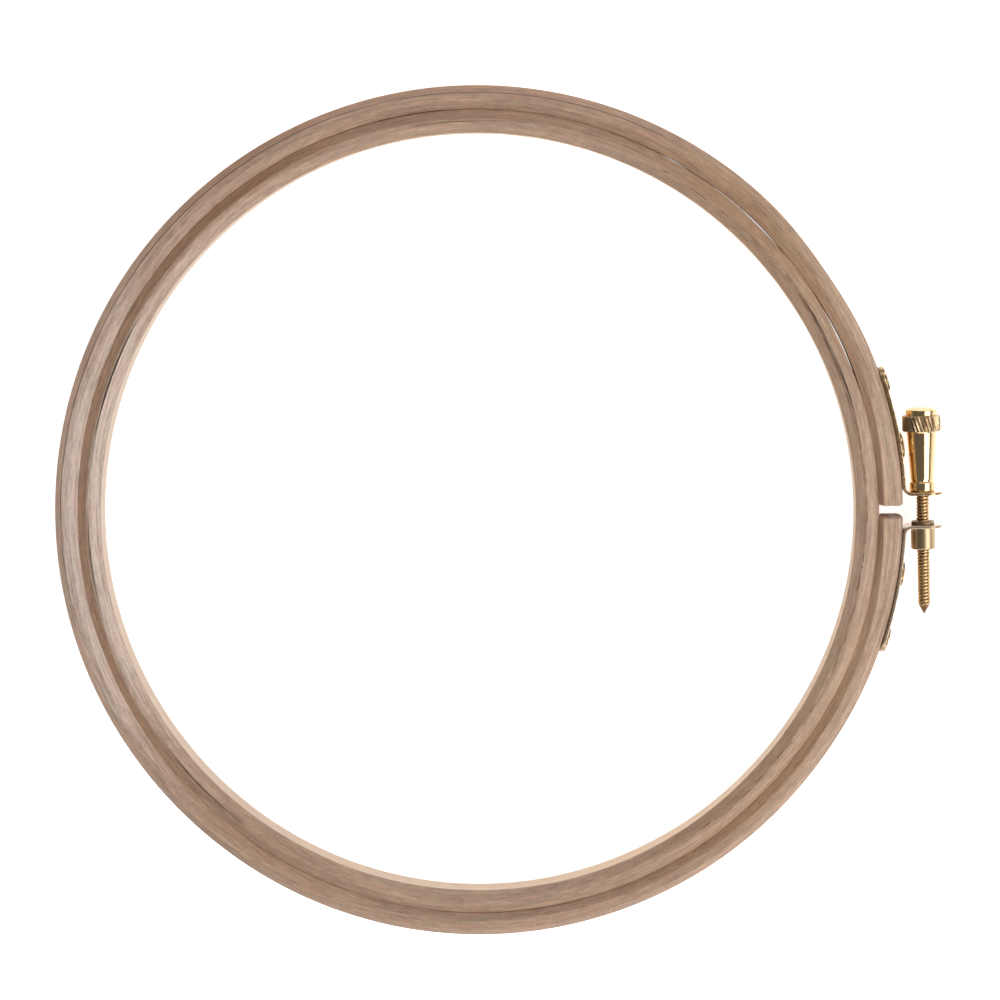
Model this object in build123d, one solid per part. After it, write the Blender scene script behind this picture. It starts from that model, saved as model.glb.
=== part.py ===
from build123d import *
import math
import os

# Embroidery hoop: two beech rings, one inside the other, and a brass screw clamp.
# The hoop lies flat. +Z is its axis and the clamp is at +X, with the screw along +Y.
# The origin is the middle of the inner ring's opening, halfway through its depth.
# All lengths are in millimetres.

# Rings
opening_radius = 95.0
inner_ring_wall = 6.0
outer_ring_wall = 5.7
ring_clearance = 0.3
hoop_depth = 10.0
inner_ring_bevel = 2.4
outer_ring_bevel = 1.85
bevel_height = 1.9
ring_gap = 2.9
end_bevel = 0.4

# Straps and ears of the two brackets
sheet_thickness = 0.8
strap_width = 7.5
strap_reach = 36.4
strap_clearance = 0.05
strap_end_round = 3.0
ear_setback = 2.3
ear_reach = 4.65
ear_end_round = 3.4
bend_radius = 1.6

# Rivets
rivet_inset = 3.25
rivet_spacing = 17.0
rivet_head_radius = 3.2
rivet_head_edge = 0.35
rivet_head_height = 1.15
rivet_flat_radius = 1.5
rivet_shank_radius = 1.25
rivet_hole_clearance = 0.05
rivet_seat_clearance = 0.03
rivet_tail_radius = 2.0
rivet_tail_height = 0.5
tail_recess_margin = 0.25

# Screw and knob
screw_radius = 1.65
screw_offset = 5.3
screw_point_length = 2.9
screw_length_below_gap = 26.6
ear_hole_clearance = 0.25
knob_seat_clearance = 0.05
knob_foot_radius = 3.15
knob_foot_height = 2.3
knob_foot_bevel = 0.3
taper_low_radius = 2.85
taper_high_radius = 3.75
taper_height = 12.75
knurl_radius = 4.75
knurl_depth = 0.35
knurl_height = 4.0
knurl_groove_width = 0.75
knurl_teeth = 32
knurl_slant = 18.0
collar_radius = 3.95
collar_height = 1.55
dome_height = 0.7
dome_flat_radius = 2.2
knob_bore_depth = 15.0
knob_bore_clearance = 0.03

# Threaded bush, swaged into the lower ear
bush_rim_radius = 2.9
bush_rim_height = 0.85
bush_neck_radius = 2.3
bush_neck_clearance = 0.05
bush_seat_clearance = 0.02
bush_body_radius = 3.05
bush_body_height = 5.4
bush_bevel = 0.3
bush_bore_clearance = 0.2

# One overrun serves every cut, and one share of the gap tells which edges lie on the ring's ends
overrun = 1.0
end_tolerance_share = 0.001

# Places that follow from the sizes above
half_depth = hoop_depth / 2
inner_ring_outside = opening_radius + inner_ring_wall
outer_ring_inside = inner_ring_outside + ring_clearance
outer_ring_outside = outer_ring_inside + outer_ring_wall
strap_inside = outer_ring_outside + strap_clearance
strap_outside = strap_inside + sheet_thickness
ear_near_face = ring_gap / 2 + ear_setback
ear_far_face = ear_near_face + sheet_thickness
screw_x = outer_ring_outside + screw_offset
ear_tip = screw_x + ear_reach
screw_axis = Axis((screw_x, 0, 0), (0, 1, 0))

# Distances from the middle of the gap along the outer ring
far_rivet_reach = strap_reach - rivet_inset
near_rivet_reach = far_rivet_reach - rivet_spacing


def reach_angle(reach):
    """Angle, in degrees, of a place that lies this far round the outer ring from the gap's middle."""
    return math.degrees(reach / outer_ring_outside)


def ring_section(inside, outside, bevel_width):
    """Section of a ring: straight walls, a flat top and foot, and a bevel on each of its four edges."""
    wall_top = half_depth - bevel_height
    upper_half = [
        (outside, wall_top),
        (outside - bevel_width, half_depth),
        (inside + bevel_width, half_depth),
        (inside, wall_top),
    ]
    lower_half = [(across, -height) for across, height in reversed(upper_half)]
    return make_face(Polyline(*upper_half, *lower_half, close=True).edges())


def ring(inside, outside, bevel_width):
    """Closed ring: its section carried once round the hoop's axis."""
    return revolve(Plane.XZ * ring_section(inside, outside, bevel_width), Axis.Z)


def radial_cylinder(angle, radius, start, end):
    """Round bar that points away from the hoop's axis, from one distance to another."""
    place = Rot(0, 0, angle) * Pos(start, 0, 0) * Rot(0, 90, 0)
    return place * Cylinder(radius, end - start, align=(Align.CENTER, Align.CENTER, Align.MIN))


def make_inner_ring():
    """Closed ring that the cloth is laid over."""
    return ring(opening_radius, inner_ring_outside, inner_ring_bevel)


def make_outer_ring():
    """Ring cut open at the clamp, drilled and recessed for the four rivets."""
    hoop = ring(outer_ring_inside, outer_ring_outside, outer_ring_bevel)
    cut_length = outer_ring_wall + 2 * overrun
    cut_middle = (outer_ring_inside + outer_ring_outside) / 2
    hoop -= Pos(cut_middle, 0, 0) * Box(cut_length, ring_gap, hoop_depth + 2 * overrun)
    end_edges = hoop.edges().filter_by(lambda edge: edge.center().X > 0 and lies_on_end(edge))
    hoop = chamfer(end_edges, end_bevel)
    recess_end = outer_ring_inside + rivet_tail_height + tail_recess_margin
    for side in (1, -1):
        for reach in (near_rivet_reach, far_rivet_reach):
            angle = side * reach_angle(reach)
            hole_radius = rivet_shank_radius + rivet_hole_clearance
            recess_radius = rivet_tail_radius + rivet_hole_clearance
            hoop -= radial_cylinder(
                angle, hole_radius, outer_ring_inside - overrun, outer_ring_outside + overrun
            )
            hoop -= radial_cylinder(angle, recess_radius, outer_ring_inside - overrun, recess_end)
    return hoop


def lies_on_end(edge):
    """Whether an edge lies in one of the two sawn ends of the outer ring."""
    tolerance = end_tolerance_share * ring_gap
    lowest = edge.bounding_box().min.Y
    highest = edge.bounding_box().max.Y
    return highest - lowest < tolerance and abs(abs(highest) - ring_gap / 2) < tolerance


def bracket_outline():
    """Edge view of the upper bracket: strap along the ring, bend, and ear square to the gap."""
    bend_y = ear_far_face + bend_radius
    bend_x = math.sqrt((strap_outside + bend_radius) ** 2 - bend_y ** 2)
    bend_angle = math.degrees(math.atan2(bend_y, bend_x))
    strap_sweep = reach_angle(strap_reach) - bend_angle
    bend_sweep = 90 - bend_angle
    inner_strap = CenterArc((0, 0), strap_inside, bend_angle, strap_sweep)
    outer_strap = CenterArc((0, 0), strap_outside, bend_angle, strap_sweep)
    outer_bend = CenterArc((bend_x, bend_y), bend_radius + sheet_thickness, 180 + bend_angle, bend_sweep)
    inner_bend = CenterArc((bend_x, bend_y), bend_radius, 180 + bend_angle, bend_sweep)
    edges = [
        inner_strap,
        outer_bend,
        Line((bend_x, ear_near_face), (ear_tip, ear_near_face)),
        Line((ear_tip, ear_near_face), (ear_tip, ear_far_face)),
        Line((ear_tip, ear_far_face), (bend_x, ear_far_face)),
        inner_bend,
        outer_strap,
        Line(outer_strap @ 1, inner_strap @ 1),
    ]
    return make_face(Wire(edges).edges())


def make_bracket(side, ear_hole_radius):
    """Bent strap with rounded ends, two rivet holes and a hole in its ear. Side is 1 above the gap."""
    bracket = extrude(bracket_outline(), strap_width / 2, both=True)
    end_angle = reach_angle(strap_reach)
    end_middle = Vector((strap_inside + strap_outside) / 2, 0, 0).rotate(Axis.Z, end_angle)
    tip_middle = Vector(ear_tip, (ear_near_face + ear_far_face) / 2, 0)
    for middle, end_round in ((end_middle, strap_end_round), (tip_middle, ear_end_round)):
        corners = [corner_edge(bracket, middle, sign) for sign in (1, -1)]
        bracket = fillet(corners, end_round)
    for reach in (near_rivet_reach, far_rivet_reach):
        bracket -= radial_cylinder(
            reach_angle(reach),
            rivet_shank_radius + rivet_hole_clearance,
            strap_inside - overrun,
            strap_outside + overrun,
        )
    hole_length = sheet_thickness + 2 * overrun
    ear_middle = (ear_near_face + ear_far_face) / 2
    bracket -= Pos(screw_x, ear_middle, 0) * Rot(90, 0, 0) * Cylinder(ear_hole_radius, hole_length)
    return bracket if side > 0 else mirror(bracket, Plane.XZ)


def corner_edge(bracket, middle, sign):
    """Edge through the sheet at one corner of a strap's end or an ear's tip."""
    corner = middle + Vector(0, 0, sign * strap_width / 2)
    return min(bracket.edges(), key=lambda edge: (edge.center() - corner).length)


def make_rivet(side, reach):
    """Rivet with a low crowned head on the strap and a clinched tail in the wood's recess."""
    seat = strap_outside + rivet_seat_clearance
    dome_top = seat + rivet_head_height
    tail_seat = outer_ring_inside + tail_recess_margin
    tail_end = tail_seat + rivet_tail_height - rivet_seat_clearance
    outline = [
        (tail_seat, 0),
        (tail_seat, rivet_tail_radius),
        (tail_end, rivet_tail_radius),
        (tail_end, rivet_shank_radius),
        (seat, rivet_shank_radius),
        (seat, rivet_head_radius),
        (seat + rivet_head_edge, rivet_head_radius),
        (dome_top, rivet_flat_radius),
        (dome_top, 0),
    ]
    rivet = revolve(make_face(Polyline(*outline, close=True).edges()), Axis.X)
    return Rot(0, 0, side * reach_angle(reach)) * rivet


def turned(points):
    """Solid turned about the screw's axis from an outline of (radius, height) points."""
    outline = [(screw_x + radius, height) for radius, height in points]
    return revolve(make_face(Polyline(*outline, close=True).edges()), screw_axis)


def make_threaded_bush():
    """Nut swaged into the lower ear: rim on the gap side, neck in the ear's hole, body below it."""
    bore = screw_radius + bush_bore_clearance
    rim_seat = -ear_near_face + bush_seat_clearance
    rim_top = rim_seat + bush_rim_height
    body_top = -ear_far_face - bush_seat_clearance
    body_foot = body_top - bush_body_height
    return turned([
        (bore, rim_top),
        (bush_rim_radius, rim_top),
        (bush_rim_radius, rim_seat),
        (bush_neck_radius, rim_seat),
        (bush_neck_radius, body_top),
        (bush_body_radius, body_top),
        (bush_body_radius, body_foot + bush_bevel),
        (bush_body_radius - bush_bevel, body_foot),
        (bore, body_foot),
    ])


def make_knurled_band(foot):
    """Band with slanting V grooves all round, which leave narrow lands between them."""
    top = foot + knurl_height
    band = turned([
        (taper_low_radius, foot),
        (knurl_radius, foot),
        (knurl_radius, top),
        (taper_low_radius, top),
    ])
    slope = knurl_groove_width / (2 * knurl_depth)
    half_mouth = (knurl_depth + overrun) * slope
    vee = Plane.XZ * make_face(Polyline(
        (knurl_radius - knurl_depth, 0),
        (knurl_radius + overrun, half_mouth),
        (knurl_radius + overrun, -half_mouth),
        close=True,
    ).edges())
    groove = Rot(knurl_slant, 0, 0) * extrude(vee, knurl_height / 2 + overrun, both=True)
    middle = Pos(screw_x, foot + knurl_height / 2, 0)
    turn = 360 / knurl_teeth
    return band - [middle * Rot(0, index * turn, 0) * groove for index in range(knurl_teeth)]


def make_knob():
    """Thumb knob: foot flange on the upper ear, taper, knurled band, collar and low dome."""
    foot = ear_far_face + knob_seat_clearance
    foot_top = foot + knob_foot_height
    band_foot = foot_top + taper_height
    band_top = band_foot + knurl_height
    collar_top = band_top + collar_height
    bore = screw_radius + knob_bore_clearance
    body = turned([
        (bore, foot),
        (knob_foot_radius - knob_foot_bevel, foot),
        (knob_foot_radius, foot + knob_foot_bevel),
        (knob_foot_radius, foot_top),
        (taper_low_radius, foot_top),
        (taper_high_radius, band_foot),
        (collar_radius, band_foot),
        (collar_radius, collar_top),
        (dome_flat_radius, collar_top + dome_height),
        (0, collar_top + dome_height),
        (0, foot + knob_bore_depth),
        (bore, foot + knob_bore_depth),
    ])
    return body + make_knurled_band(band_foot)


def make_screw_shank():
    """Rod with a pointed end. Its radius is the thread's crest, and its top is fixed in the knob."""
    top = ear_far_face + knob_seat_clearance + knob_bore_depth - knob_bore_clearance
    tip = -screw_length_below_gap
    point_start = tip + screw_point_length
    return turned([
        (0, tip),
        (screw_radius, point_start),
        (screw_radius, top),
        (0, top),
    ])


nodes = {
    "inner_ring": make_inner_ring(),
    "outer_ring": make_outer_ring(),
    "upper_bracket": make_bracket(1, screw_radius + ear_hole_clearance),
    "lower_bracket": make_bracket(-1, bush_neck_radius + bush_neck_clearance),
    "upper_rivet_near": make_rivet(1, near_rivet_reach),
    "upper_rivet_far": make_rivet(1, far_rivet_reach),
    "lower_rivet_near": make_rivet(-1, near_rivet_reach),
    "lower_rivet_far": make_rivet(-1, far_rivet_reach),
    "threaded_bush": make_threaded_bush(),
    "knob": make_knob(),
    "screw_shank": make_screw_shank(),
}

os.makedirs("parts", exist_ok=True)
for name, piece in nodes.items():
    export_step(piece, f"parts/{name}.step")
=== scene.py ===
"""Embroidery hoop, dressed for its picture.

Two beech rings, one inside the other, and the brass screw clamp that closes the outer one.
Shapes are worked out in millimetres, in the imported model's own frame: the hoop lies flat,
its axis is +Z, the clamp is at +X and the screw runs along +Y towards its knob.
"""

import logging
import math
from dataclasses import dataclass, replace
from enum import Enum
from typing import Union

import bpy
import numpy as np
from mathutils import Matrix, Vector


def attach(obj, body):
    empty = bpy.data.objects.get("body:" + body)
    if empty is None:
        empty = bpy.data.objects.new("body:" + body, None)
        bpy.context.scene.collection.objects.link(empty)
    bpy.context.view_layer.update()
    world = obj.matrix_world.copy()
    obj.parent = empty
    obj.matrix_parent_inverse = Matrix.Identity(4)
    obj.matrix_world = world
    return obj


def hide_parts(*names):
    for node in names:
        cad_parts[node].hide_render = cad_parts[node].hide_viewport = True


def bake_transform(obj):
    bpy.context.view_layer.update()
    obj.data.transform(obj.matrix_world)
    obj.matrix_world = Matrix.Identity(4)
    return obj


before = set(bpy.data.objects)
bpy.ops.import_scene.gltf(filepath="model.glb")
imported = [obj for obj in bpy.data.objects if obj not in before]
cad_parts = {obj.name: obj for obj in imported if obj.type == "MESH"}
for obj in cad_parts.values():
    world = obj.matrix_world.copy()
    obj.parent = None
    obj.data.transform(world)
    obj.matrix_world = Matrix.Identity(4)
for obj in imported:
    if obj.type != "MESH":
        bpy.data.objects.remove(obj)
LOG = logging.getLogger("hoop")
MM = 0.001
JOIN_RADIUS = 101.0
Number = Union[float, np.ndarray]
Feed = Union[float, tuple, bpy.types.NodeSocket]


class Side(Enum):
    """The two ends of the outer ring, above and below the gap as the photograph shows them."""

    UPPER = 1
    LOWER = -1

    @property
    def word(self) -> str:
        """The side as the names of pieces and nodes hold it."""
        return self.name.lower()

    @property
    def body(self) -> str:
        """The body that carries what is riveted to this end."""
        return "outer_ring" if self is Side.UPPER else "lower_clamp"


@dataclass(frozen=True)
class Shell:
    """Closed surface in millimetres: its points, its four-sided faces and any other faces."""

    points: np.ndarray
    quads: np.ndarray
    others: tuple = ()


def unit(vectors: np.ndarray) -> np.ndarray:
    """Vectors divided by their own length."""
    return vectors / np.linalg.norm(vectors, axis=-1, keepdims=True)


def smooth_step(value: Number, low: float, high: float) -> Number:
    """Rise from 0 at low to 1 at high, as 3t^2 - 2t^3.

    Args:
        value: Where the rise is read.
        low: Value up to which the result is 0.
        high: Value from which the result is 1.

    Returns:
        The rise, as large as value.
    """
    t = np.clip((value - low) / (high - low), 0.0, 1.0)
    return t * t * (3.0 - 2.0 * t)


@dataclass(frozen=True)
class Swell:
    """Change at one place round the hoop: its height, and its place and spread in degrees."""

    height: float
    place: float
    spread: float

    def at(self, angle: Number) -> Number:
        """Bell curve height x exp(-(d / spread)^2), where d is the angle from its place.

        Args:
            angle: Angles round the hoop, in radians.

        Returns:
            The change at each angle, in the height's own unit.
        """
        away = (np.degrees(angle) - self.place + 180.0) % 360.0 - 180.0
        return self.height * np.exp(-((away / self.spread) ** 2))


@dataclass(frozen=True)
class Waver:
    """Slow unevenness round the hoop: its size, the seed of its phases and its waves in one turn."""

    size: float
    seed: int
    orders: tuple[int, ...]

    def at(self, angle: Number) -> Number:
        """Sum of cos(k a + phase) over the orders k, times size / sqrt(their count).

        Args:
            angle: Angles round the hoop, in radians.

        Returns:
            The unevenness, roughly -size to size, the same after one turn.
        """
        phases = np.random.default_rng(self.seed).uniform(0.0, 2.0 * np.pi, len(self.orders))
        terms = [np.cos(order * angle + phase) for order, phase in zip(self.orders, phases)]
        return self.size * (sum(terms) / math.sqrt(len(self.orders)))


def soften(outline: np.ndarray, cut: Number, samples: int = 5, closed: bool = True) -> np.ndarray:
    """Outline with each corner replaced by a short curve.

    The curve is the parabola (1-t)^2 A + 2t(1-t) C + t^2 B, where C is the corner and A and B lie
    cut before and after it. One more point on either side keeps the flats' own shading.

    Args:
        outline: Corners, with any number of leading axes: (..., corners, 2).
        cut: Distance from a corner to where its curve starts, one for all or one for each.
        samples: Points on each curve.
        closed: Whether the last corner joins the first. If not, both ends stay as they are.

    Returns:
        The softened outline, (..., points, 2).
    """
    corners = outline.shape[-2]
    reach = np.broadcast_to(np.asarray(cut, float), (corners,))[:, None]
    back = np.roll(outline, 1, axis=-2) - outline
    ahead = np.roll(outline, -1, axis=-2) - outline
    if not closed:
        back[..., 0, :] = -ahead[..., 0, :]
        ahead[..., -1, :] = -back[..., -1, :]
    back = unit(back)
    ahead = unit(ahead)
    t = np.linspace(0.0, 1.0, samples)[:, None]
    before = (outline + back * reach)[..., None, :]
    after = (outline + ahead * reach)[..., None, :]
    corner = outline[..., None, :]
    curve = (1 - t) ** 2 * before + 2 * t * (1 - t) * corner + t**2 * after
    first = (outline + back * reach * 1.5)[..., None, :]
    last = (outline + ahead * reach * 1.5)[..., None, :]
    packed = np.concatenate([first, curve, last], axis=-2)
    flat = packed.reshape(*outline.shape[:-2], corners * (samples + 2), 2)
    if closed:
        return flat
    inner = flat[..., samples + 2 : -(samples + 2), :]
    return np.concatenate([outline[..., :1, :], inner, outline[..., -1:, :]], axis=-2)


def grid_quads(rows: int, columns: int, wrap_rows: bool, wrap_columns: bool) -> np.ndarray:
    """Faces of a grid of points: each joins a point to its neighbours in the next row and column.

    Args:
        rows: Points along the first axis.
        columns: Points along the second axis.
        wrap_rows: Whether the last row joins the first.
        wrap_columns: Whether the last column joins the first.

    Returns:
        Point numbers of each face, (faces, 4).
    """
    row, column = np.meshgrid(
        np.arange(rows if wrap_rows else rows - 1),
        np.arange(columns if wrap_columns else columns - 1),
        indexing="ij",
    )
    next_row = (row + 1) % rows
    next_column = (column + 1) % columns
    corners = (
        row * columns + column,
        next_row * columns + column,
        next_row * columns + next_column,
        row * columns + next_column,
    )
    return np.stack(corners, axis=-1).reshape(-1, 4)


def end_caps(rows: int, columns: int) -> tuple[tuple[int, ...], tuple[int, ...]]:
    """Faces that close the first and the last row of a grid whose columns wrap round."""
    last_row = (rows - 1) * columns
    return tuple(range(columns)), tuple(range(last_row + columns - 1, last_row - 1, -1))


def turned(profile: np.ndarray, steps: int) -> Shell:
    """Surface turned about the Y axis: (r sin a, h, r cos a) for every (r, h) of a profile.

    A profile whose two ends lie on the axis gets a pole at each, and any other one is closed.

    Args:
        profile: Radius and height of each point, (points, 2).
        steps: Points in one turn.

    Returns:
        The closed surface.
    """
    poles = profile[0, 0] < 1e-6 and profile[-1, 0] < 1e-6
    rows = profile[1:-1] if poles else profile
    angle = np.linspace(0.0, 2.0 * np.pi, steps, endpoint=False)
    radius = rows[:, 0][:, None]
    height = np.broadcast_to(rows[:, 1][:, None], (len(rows), steps))
    points = np.stack([radius * np.sin(angle), height, radius * np.cos(angle)], axis=-1)
    points = points.reshape(-1, 3)
    quads = grid_quads(len(rows), steps, not poles, True)
    if not poles:
        return Shell(points, quads)
    around = np.arange(steps)
    following = (around + 1) % steps
    last_row = (len(rows) - 1) * steps
    low = len(points)
    fans = np.concatenate([
        np.stack([np.full(steps, low), around, following], axis=-1),
        np.stack([np.full(steps, low + 1), last_row + following, last_row + around], axis=-1),
    ])
    ends = np.array([[0.0, profile[0, 1], 0.0], [0.0, profile[-1, 1], 0.0]])
    return Shell(np.concatenate([points, ends]), quads, tuple(map(tuple, fans.tolist())))


def round_bar(radius: float, low: float, high: float, steps: int) -> Shell:
    """Bar about the Y axis from one height to another, which cuts a round hole."""
    return turned(np.array([(0.0, low), (radius, low), (radius, high), (0.0, high)]), steps)


def joined(shells: list[Shell]) -> Shell:
    """Several closed surfaces in one, each kept whole."""
    points, quads, others, start = [], [], [], 0
    for shell in shells:
        points.append(shell.points)
        quads.append(shell.quads + start)
        others += [tuple(index + start for index in face) for face in shell.others]
        start += len(shell.points)
    return Shell(np.concatenate(points), np.concatenate(quads), tuple(others))


def faces_outwards(shell: Shell) -> bool:
    """Whether the signed volume, the sum of a . (b x c) / 6 over its triangles, is positive."""
    middle = shell.points.mean(axis=0)
    corners = shell.points[shell.quads] - middle
    first = np.einsum("ij,ij->i", corners[:, 0], np.cross(corners[:, 1], corners[:, 2]))
    second = np.einsum("ij,ij->i", corners[:, 0], np.cross(corners[:, 2], corners[:, 3]))
    volume = first.sum() + second.sum()
    for face in shell.others:
        ring = shell.points[list(face)] - middle
        volume += np.einsum("j,ij->", ring[0], np.cross(ring[1:-1], ring[2:]))
    return bool(volume > 0.0)


def make_object(name: str, shell: Shell, crease: float) -> bpy.types.Object:
    """Mesh object from a closed surface, in metres, with its faces turned outwards.

    Args:
        name: The object's name.
        shell: The surface, in millimetres.
        crease: Angle, in degrees, above which an edge is shaded sharp.

    Returns:
        The object, linked to the scene.
    """
    faces = shell.quads.tolist() + [list(face) for face in shell.others]
    if not faces_outwards(shell):
        faces = [face[::-1] for face in faces]
    mesh = bpy.data.meshes.new(name)
    mesh.from_pydata((shell.points * MM).tolist(), [], faces)
    mesh.update()
    piece = bpy.data.objects.new(name, mesh)
    bpy.context.scene.collection.objects.link(piece)
    shade(piece, crease)
    return piece


def shade(piece: bpy.types.Object, crease: float) -> None:
    """Smooth shading, with the edges that turn by more than crease degrees kept sharp."""
    piece.data.shade_smooth()
    piece.data.set_sharp_from_angle(angle=math.radians(crease))


def drill(piece: bpy.types.Object, bars: list[Shell], crease: float) -> None:
    """Cuts round bars out of a piece and keeps the result as its mesh.

    Args:
        piece: The piece to cut.
        bars: Closed surfaces of the bars, in millimetres.
        crease: Angle, in degrees, above which an edge of the result is shaded sharp.
    """
    cutter = make_object("cutter", joined(bars), crease)
    change = piece.modifiers.new("holes", "BOOLEAN")
    change.operation = "DIFFERENCE"
    change.solver = "EXACT"
    change.object = cutter
    bpy.context.view_layer.update()
    scene_state = bpy.context.evaluated_depsgraph_get()
    cut_mesh = bpy.data.meshes.new_from_object(piece.evaluated_get(scene_state))
    piece.modifiers.clear()
    old_mesh = piece.data
    piece.data = cut_mesh
    bpy.data.meshes.remove(old_mesh)
    piece.data.name = piece.name
    old_cutter = cutter.data
    bpy.data.objects.remove(cutter)
    bpy.data.meshes.remove(old_cutter)
    shade(piece, crease)


def mesh_points(piece: bpy.types.Object) -> np.ndarray:
    """Points of a piece's mesh in millimetres, (points, 3)."""
    places = np.empty(len(piece.data.vertices) * 3, np.float32)
    piece.data.vertices.foreach_get("co", places)
    return places.reshape(-1, 3) / MM


def store_place(piece: bpy.types.Object, name: str, points: np.ndarray) -> None:
    """Stores a place in metres for each point of a piece, so that a pattern stays on what bends."""
    attribute = piece.data.attributes.new(name, "FLOAT_VECTOR", "POINT")
    attribute.data.foreach_set("vector", (points * MM).astype(np.float32).ravel())


def store_value(piece: bpy.types.Object, name: str, values: np.ndarray) -> None:
    """Stores one number for each point of a piece under a name that its material reads."""
    attribute = piece.data.attributes.new(name, "FLOAT", "POINT")
    attribute.data.foreach_set("value", values.astype(np.float32))


class Graph:
    """Nodes of one material or group, added in the order in which they feed each other."""

    def __init__(self, tree: bpy.types.NodeTree) -> None:
        """Keeps the tree that the nodes go into."""
        self.tree = tree

    def add(self, kind: str, **settings: object) -> bpy.types.Node:
        """New node of a kind, with its own settings."""
        node = self.tree.nodes.new(kind)
        for name, value in settings.items():
            setattr(node, name, value)
        return node

    def feed(self, socket: bpy.types.NodeSocket, value: Feed) -> None:
        """Links a socket to another one, or sets it to a number or colour."""
        if isinstance(value, bpy.types.NodeSocket):
            self.tree.links.new(value, socket)
        elif isinstance(value, tuple) and len(value) == 3 and socket.type == "RGBA":
            socket.default_value = (*value, 1.0)
        else:
            socket.default_value = value

    def math(self, operation: str, *values: Feed, clamp: bool = False) -> bpy.types.NodeSocket:
        """Result of one sum on numbers or sockets."""
        node = self.add("ShaderNodeMath", operation=operation, use_clamp=clamp)
        for socket, value in zip(node.inputs, values):
            self.feed(socket, value)
        return node.outputs[0]

    def total(self, first: Feed, *others: Feed) -> bpy.types.NodeSocket:
        """Numbers or sockets added up, in order."""
        for value in others:
            first = self.math("ADD", first, value)
        return first

    def product(self, first: Feed, *others: Feed) -> bpy.types.NodeSocket:
        """Numbers or sockets multiplied together, in order."""
        for value in others:
            first = self.math("MULTIPLY", first, value)
        return first

    def spread(self, value: Feed, low: Feed, high: Feed, to_low: Feed = 0.0, to_high: Feed = 1.0,
               ease: bool = True) -> bpy.types.NodeSocket:
        """Value carried from one range to another, with or without easing at both ends."""
        node = self.add("ShaderNodeMapRange")
        node.interpolation_type = "SMOOTHSTEP" if ease else "LINEAR"
        for socket, number in zip(node.inputs, (value, low, high, to_low, to_high)):
            self.feed(socket, number)
        return node.outputs[0]

    def mix(self, share: Feed, first: Feed, second: Feed, blend: str = "MIX") -> bpy.types.NodeSocket:
        """Colour between two others, or one laid on the other."""
        node = self.add("ShaderNodeMix", data_type="RGBA", blend_type=blend)
        self.feed(node.inputs[0], share)
        self.feed(node.inputs[6], first)
        self.feed(node.inputs[7], second)
        return node.outputs[2]

    def noise(self, place: Feed, scale: Feed, detail: float = 2.0, rough: float = 0.5,
              depth: Feed | None = None) -> bpy.types.NodeSocket:
        """Noise value at a place, in three dimensions, or in four when depth is given."""
        node = self.add("ShaderNodeTexNoise", noise_dimensions="3D" if depth is None else "4D")
        self.feed(node.inputs["Vector"], place)
        if depth is not None:
            self.feed(node.inputs["W"], depth)
        self.feed(node.inputs["Scale"], scale)
        self.feed(node.inputs["Detail"], detail)
        self.feed(node.inputs["Roughness"], rough)
        return node.outputs[0]

    def stretch(self, place: Feed, factors: tuple[float, float, float]) -> bpy.types.NodeSocket:
        """Place multiplied by one factor along each axis."""
        node = self.add("ShaderNodeVectorMath", operation="MULTIPLY")
        self.feed(node.inputs[0], place)
        node.inputs[1].default_value = factors
        return node.outputs[0]

    def split(self, place: Feed) -> bpy.types.NodeOutputs:
        """The three parts of a place."""
        node = self.add("ShaderNodeSeparateXYZ")
        self.feed(node.inputs[0], place)
        return node.outputs

    def join(self, x: Feed, y: Feed, z: Feed) -> bpy.types.NodeSocket:
        """One place from its three parts."""
        node = self.add("ShaderNodeCombineXYZ")
        for socket, value in zip(node.inputs, (x, y, z)):
            self.feed(socket, value)
        return node.outputs[0]

    def shown(self) -> bpy.types.NodeSocket:
        """1 for the rays that show a surface: those of the camera, of gloss and through glass."""
        rays = self.add("ShaderNodeLightPath").outputs
        direct = self.math("MAXIMUM", rays["Is Camera Ray"], rays["Is Glossy Ray"])
        return self.math("MAXIMUM", direct, rays["Is Transmission Ray"])

    def polar(self, place: Feed) -> tuple[bpy.types.NodeSocket, ...]:
        """Radius and height in millimetres, and cosine and sine of the angle round the hoop."""
        x, y, height = self.split(self.stretch(place, (1.0 / MM, 1.0 / MM, 1.0 / MM)))
        radius = self.math("SQRT", self.total(self.product(x, x), self.product(y, y)))
        return radius, height, self.math("DIVIDE", x, radius), self.math("DIVIDE", y, radius)

    def use(self, group: bpy.types.NodeTree, **values: Feed) -> bpy.types.Node:
        """Node that places a group, with its inputs fed by name; an underscore stands for a space."""
        node = self.add("ShaderNodeGroup", node_tree=group)
        for name, value in values.items():
            self.feed(node.inputs[name.replace("_", " ")], value)
        return node


def new_group(name: str, inputs: dict[str, str], outputs: dict[str, str]) -> tuple[Graph, dict, dict]:
    """Empty shader node group with named sockets.

    Args:
        name: The group's name.
        inputs: Kind of each input socket, by name.
        outputs: Kind of each output socket, by name.

    Returns:
        The group's graph, the sockets that bring its inputs, and those that take its outputs.
    """
    tree = bpy.data.node_groups.new(name, "ShaderNodeTree")
    for sockets, way in ((inputs, "INPUT"), (outputs, "OUTPUT")):
        for socket_name, kind in sockets.items():
            tree.interface.new_socket(name=socket_name, in_out=way, socket_type="NodeSocket" + kind)
    graph = Graph(tree)
    entry = graph.add("NodeGroupInput")
    way_out = graph.add("NodeGroupOutput")
    sources = {socket_name: entry.outputs[socket_name] for socket_name in inputs}
    targets = {socket_name: way_out.inputs[socket_name] for socket_name in outputs}
    return graph, sources, targets


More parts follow.
